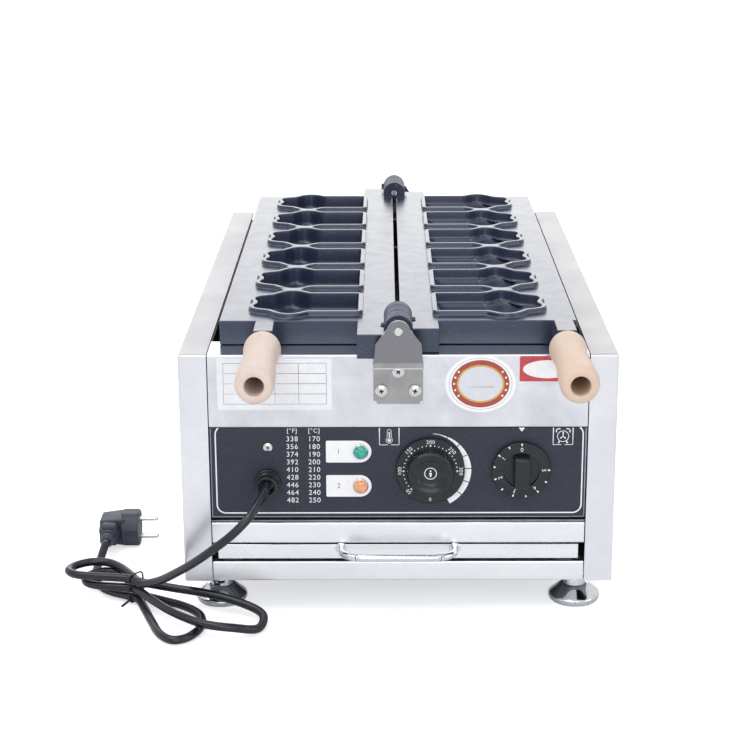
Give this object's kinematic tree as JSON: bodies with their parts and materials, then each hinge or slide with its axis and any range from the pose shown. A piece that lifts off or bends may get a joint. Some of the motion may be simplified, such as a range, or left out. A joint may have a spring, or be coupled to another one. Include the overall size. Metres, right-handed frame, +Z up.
{
  "type": "countertop mould waffle maker",
  "caption": "Electric waffle maker with bear-shaped mould plates that fold onto each other along a hinge line, wooden handles, dial, timer and crumb tray.",
  "frame": {"origin": "on the surface the feet stand on, below the middle of the machine with its handles and hinge", "axes": "+X to the right seen from the front, +Y from the control panel to the back, +Z up"},
  "size_m": [0.52, 0.7988, 0.2946],
  "materials": {
    "stainless": "brushed stainless sheet",
    "bracket_steel": "satin bracket with a bright ground edge",
    "galvanised": "zinc coated sheet",
    "chrome": "bright plating",
    "bright_steel": "bright turned steel",
    "coated_casting": "dark speckled non-stick coating on a casting",
    "charcoal_panel": "satin charcoal paint with pale markings",
    "black_plastic": "black moulded plastic",
    "turned_wood": "pale turned hardwood, sanded",
    "element_sheath": "dull oxidised sheath",
    "ceramic": "cream glazed ceramic",
    "green_lens": "clear tinted lens",
    "orange_lens": "clear tinted lens",
    "cord_rubber": "satin rubber sheath",
    "plug_rubber": "moulded rubber"
  },
  "bodies": {
    "casing": {"left_side_panel": "stainless", "right_side_panel": "stainless", "front_fascia": "stainless", "back_panel": "stainless", "front_mid_rail": "stainless", "front_bottom_rail": "stainless", "floor_pan": "galvanised", "heat_tray": "galvanised", "bay_shield": "galvanised", "left_tray_runner": "galvanised", "right_tray_runner": "galvanised", "left_outer_element": "element_sheath", "left_inner_element": "element_sheath", "right_inner_element": "element_sheath", "right_outer_element": "element_sheath", "front_element_support": "galvanised", "rear_element_support": "galvanised", "front_hinge_bracket": "bracket_steel", "rear_hinge_bracket": "bracket_steel", "front_bracket_screw_1": "bright_steel", "front_bracket_screw_2": "bright_steel", "front_bracket_screw_3": "bright_steel", "rear_bracket_screw_1": "bright_steel", "rear_bracket_screw_2": "bright_steel", "rear_bracket_screw_3": "bright_steel", "front_hinge_pin": "bright_steel", "rear_hinge_pin": "bright_steel", "control_panel": "charcoal_panel", "thermostat_body": "bright_steel", "timer_body": "bright_steel", "green_lamp_bezel": "chrome", "green_lamp_lens": "green_lens", "orange_lamp_bezel": "chrome", "orange_lamp_lens": "orange_lens", "panel_screw": "bright_steel", "terminal_block": "ceramic", "cord_gland": "black_plastic", "power_cord": "cord_rubber", "cord_hank": "cord_rubber", "cord_tail": "cord_rubber", "cord_tie": "black_plastic", "plug_body": "plug_rubber", "plug_upper_pin": "bright_steel", "plug_lower_pin": "bright_steel"},
    "left_mould": {"left_mould_plate": "coated_casting", "left_handle_rod": "bright_steel", "left_wooden_grip": "turned_wood", "left_handle_nut": "bright_steel"},
    "right_mould": {"right_mould_plate": "coated_casting", "right_handle_rod": "bright_steel", "right_wooden_grip": "turned_wood", "right_handle_nut": "bright_steel"},
    "temperature_dial": {"temperature_knob": "black_plastic"},
    "timer_dial": {"timer_knob": "black_plastic"},
    "crumb_drawer": {"crumb_tray": "stainless", "tray_bow_handle": "chrome"},
    "front_left_leveller": {"front_left_foot": "chrome"},
    "front_right_leveller": {"front_right_foot": "chrome"},
    "rear_left_leveller": {"rear_left_foot": "chrome"},
    "rear_right_leveller": {"rear_right_foot": "chrome"}
  },
  "joints": [
    {"name": "left_mould_hinge", "type": "hinge", "parent": "casing", "child": "left_mould", "pos_m": [0, -0.2754, 0.28165], "axis": [0, 1, 0], "range_deg": [0, 180]},
    {"name": "right_mould_hinge", "type": "hinge", "parent": "casing", "child": "right_mould", "pos_m": [0, -0.2754, 0.28165], "axis": [0, 1, 0], "range_deg": [-180, 0]},
    {"name": "temperature_turn", "type": "hinge", "parent": "casing", "child": "temperature_dial", "pos_m": [0.0296, -0.2756, 0.14325], "axis": [0, 1, 0], "range_deg": [-90, 165]},
    {"name": "timer_turn", "type": "hinge", "parent": "casing", "child": "timer_dial", "pos_m": [0.1133, -0.2756, 0.144], "axis": [0, 1, 0], "range_deg": [0, 270]},
    {"name": "crumb_tray_slide", "type": "slide", "parent": "casing", "child": "crumb_drawer", "axis": [0, -1, 0], "range_m": [0, 0.45]},
    {"name": "front_left_foot_turn", "type": "hinge", "parent": "casing", "child": "front_left_leveller", "pos_m": [-0.169, -0.2404, 0], "axis": [0, 0, 1], "continuous": true},
    {"name": "front_right_foot_turn", "type": "hinge", "parent": "casing", "child": "front_right_leveller", "pos_m": [0.169, -0.2404, 0], "axis": [0, 0, 1], "continuous": true},
    {"name": "rear_left_foot_turn", "type": "hinge", "parent": "casing", "child": "rear_left_leveller", "pos_m": [-0.169, 0.3256, 0], "axis": [0, 0, 1], "continuous": true},
    {"name": "rear_right_foot_turn", "type": "hinge", "parent": "casing", "child": "rear_right_leveller", "pos_m": [0.169, 0.3256, 0], "axis": [0, 0, 1], "continuous": true}
  ]
}
